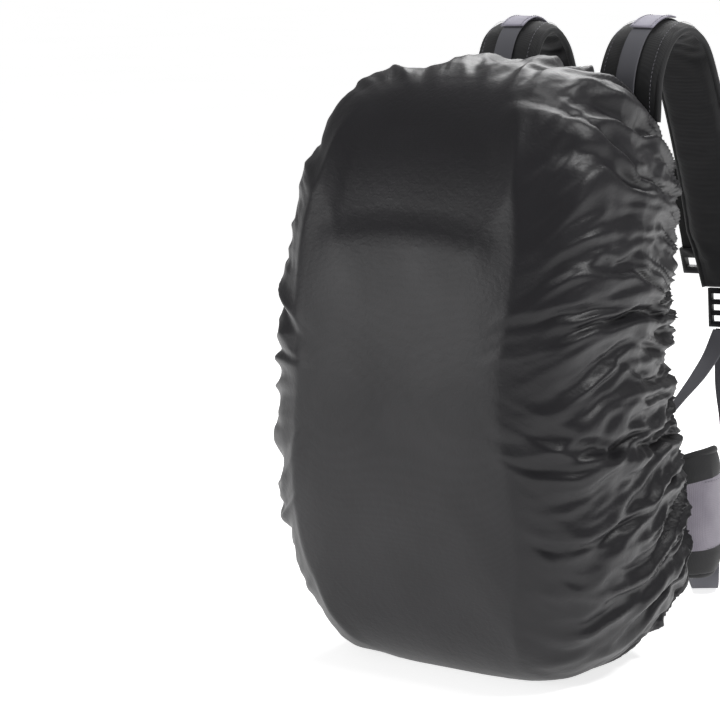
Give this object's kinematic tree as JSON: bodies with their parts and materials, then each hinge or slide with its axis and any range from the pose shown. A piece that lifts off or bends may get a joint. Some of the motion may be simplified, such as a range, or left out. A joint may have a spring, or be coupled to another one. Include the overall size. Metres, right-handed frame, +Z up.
{
  "type": "covered hiking backpack",
  "caption": "Large hiking backpack in an elasticated rain cover, standing on its base, with shoulder harness, sternum strap and buckled padded hip belt.",
  "frame": {"origin": "middle of the flat base that the covered pack stands on", "axes": "+Z up; -Y out of the cover's front; +Y towards the wearer's back, the harness side; +X the wearer's right"},
  "size_m": [0.4, 0.6314, 0.7038],
  "materials": {
    "cover_cloth": "coated polyester taffeta, black, soft sheen",
    "pack_cloth": "woven polyester over foam, black",
    "mesh_cloth": "spacer mesh, black",
    "grey_cloth": "woven nylon, purple-grey",
    "grey_webbing": "polypropylene webbing, dark grey",
    "black_webbing": "polyester webbing and tape, black",
    "piping_cloth": "woven binding, light grey",
    "moulded_plastic": "injection-moulded acetal, black",
    "sheet_plastic": "polyethylene sheet, natural",
    "label_tape": "satin label tape, blank",
    "alloy_bar": "extruded bar, plain",
    "plated_zinc": "die-cast zinc, nickel plated",
    "spring_steel": "drawn wire",
    "elastic_cord": "braided elastic cord, black"
  },
  "bodies": {
    "root": {"cover_shell": "cover_cloth", "hem_elastic": "elastic_cord", "cord_lock_body": "moulded_plastic", "cord_lock_spring": "spring_steel", "pack_body": "pack_cloth", "frame_sheet": "sheet_plastic", "frame_stay_right": "alloy_bar", "frame_stay_left": "alloy_bar", "back_panel": "mesh_cloth", "yoke_panel": "grey_cloth", "back_piping": "piping_cloth", "back_pad_right": "grey_cloth", "back_pad_left": "grey_cloth", "lumbar_pad": "pack_cloth", "torso_strap": "grey_webbing", "torso_buckle": "moulded_plastic", "strap_label": "label_tape", "shoulder_pad_right": "pack_cloth", "strap_webbing_right": "grey_webbing", "strap_band_right": "grey_webbing", "strap_patch_right": "piping_cloth", "anchor_tab_right": "black_webbing", "lower_webbing_right": "grey_webbing", "hip_fin_right": "pack_cloth", "shoulder_pad_left": "pack_cloth", "strap_webbing_left": "grey_webbing", "strap_band_left": "grey_webbing", "strap_patch_left": "piping_cloth", "anchor_tab_left": "black_webbing", "lower_webbing_left": "grey_webbing", "hip_fin_left": "pack_cloth", "hip_pocket": "grey_cloth", "pocket_zip": "black_webbing", "buckle_female": "moulded_plastic", "belt_webbing_right": "grey_webbing", "belt_webbing_left": "grey_webbing", "belt_tail_right": "grey_webbing"},
    "lock_button": {"cord_lock_button": "moulded_plastic"},
    "haul_loop": {"haul_loop": "grey_webbing"},
    "sternum_slider_right": {"sternum_slider_right": "moulded_plastic"},
    "sternum_half_right": {"sternum_strap_right": "black_webbing", "sternum_buckle_female": "moulded_plastic"},
    "sternum_slider_left": {"sternum_slider_left": "moulded_plastic"},
    "sternum_half_left": {"sternum_strap_left": "black_webbing", "sternum_buckle_male": "moulded_plastic"},
    "ladder_right": {"ladder_lock_right": "moulded_plastic", "webbing_tail_right": "grey_webbing"},
    "ladder_left": {"ladder_lock_left": "moulded_plastic", "webbing_tail_left": "grey_webbing"},
    "zip_slider": {"zip_slider": "plated_zinc"},
    "zip_pull": {"zip_pull": "black_webbing"},
    "buckle_male": {"buckle_male": "moulded_plastic", "belt_tail_left": "grey_webbing"},
    "prong_upper": {"buckle_prong_upper": "moulded_plastic"},
    "prong_lower": {"buckle_prong_lower": "moulded_plastic"}
  },
  "joints": [
    {"name": "lock_button_press", "type": "slide", "parent": "root", "child": "lock_button", "axis": [0, 0, -1], "range_m": [0, 0.003], "stiffness_N_per_m": 800, "springref_m": -0.004, "deforming": ["cord_lock_spring"]},
    {"name": "haul_loop_flop", "type": "hinge", "parent": "root", "child": "haul_loop", "pos_m": [0, 0.155, 0.59], "axis": [1, 0, 0], "range_deg": [-60, 8]},
    {"name": "sternum_height_right", "type": "slide", "parent": "root", "child": "sternum_slider_right", "axis": [-0.0398, -0.2896, 0.9563], "range_m": [0, 0.035]},
    {"name": "sternum_swing_right", "type": "hinge", "parent": "sternum_slider_right", "child": "sternum_half_right", "pos_m": [0.0415, 0.32037, 0.52717], "axis": [0, 0.9571, 0.2898], "range_deg": [0, 75]},
    {"name": "sternum_height_left", "type": "slide", "parent": "root", "child": "sternum_slider_left", "axis": [0.04, -0.3713, 0.9276], "range_m": [0, 0.035]},
    {"name": "sternum_swing_left", "type": "hinge", "parent": "sternum_slider_left", "child": "sternum_half_left", "pos_m": [-0.03931, 0.29994, 0.52862], "axis": [0, 0.9284, 0.3716], "range_deg": [-75, 0]},
    {"name": "ladder_tilt_right", "type": "hinge", "parent": "root", "child": "ladder_right", "pos_m": [0.09909, 0.337, 0.383], "axis": [1, 0, 0], "range_deg": [0, 20], "deforming": ["lower_webbing_right"]},
    {"name": "ladder_tilt_left", "type": "hinge", "parent": "root", "child": "ladder_left", "pos_m": [-0.09809, 0.323, 0.383], "axis": [1, 0, 0], "range_deg": [0, 20], "deforming": ["lower_webbing_left"]},
    {"name": "zip_slide", "type": "slide", "parent": "root", "child": "zip_slider", "axis": [0.6455, -0.7638, 0], "range_m": [0, 0.08]},
    {"name": "zip_pull_swing", "type": "hinge", "parent": "zip_slider", "child": "zip_pull", "pos_m": [0.11227, 0.3056, 0.17], "axis": [0.6455, -0.7638, 0], "range_deg": [0, 80]},
    {"name": "belt_release", "type": "slide", "parent": "root", "child": "buckle_male", "axis": [-1, 0, 0], "range_m": [0, 0.028], "deforming": ["belt_webbing_left"]},
    {"name": "prong_squeeze_upper", "type": "hinge", "parent": "buckle_male", "child": "prong_upper", "pos_m": [-0.0006, 0.332, 0.1465], "axis": [0, 1, 0], "range_deg": [0, 8], "stiffness_Nm_per_rad": 0.6, "springref_deg": -2.86},
    {"name": "prong_squeeze_lower", "type": "hinge", "parent": "buckle_male", "child": "prong_lower", "pos_m": [-0.0006, 0.332, 0.1135], "axis": [0, 1, 0], "range_deg": [-8, 0], "stiffness_Nm_per_rad": 0.6, "springref_deg": 2.86}
  ],
  "couplings": [
    {"joint": "prong_squeeze_lower", "follows": "prong_squeeze_upper", "ratio": -1}
  ]
}
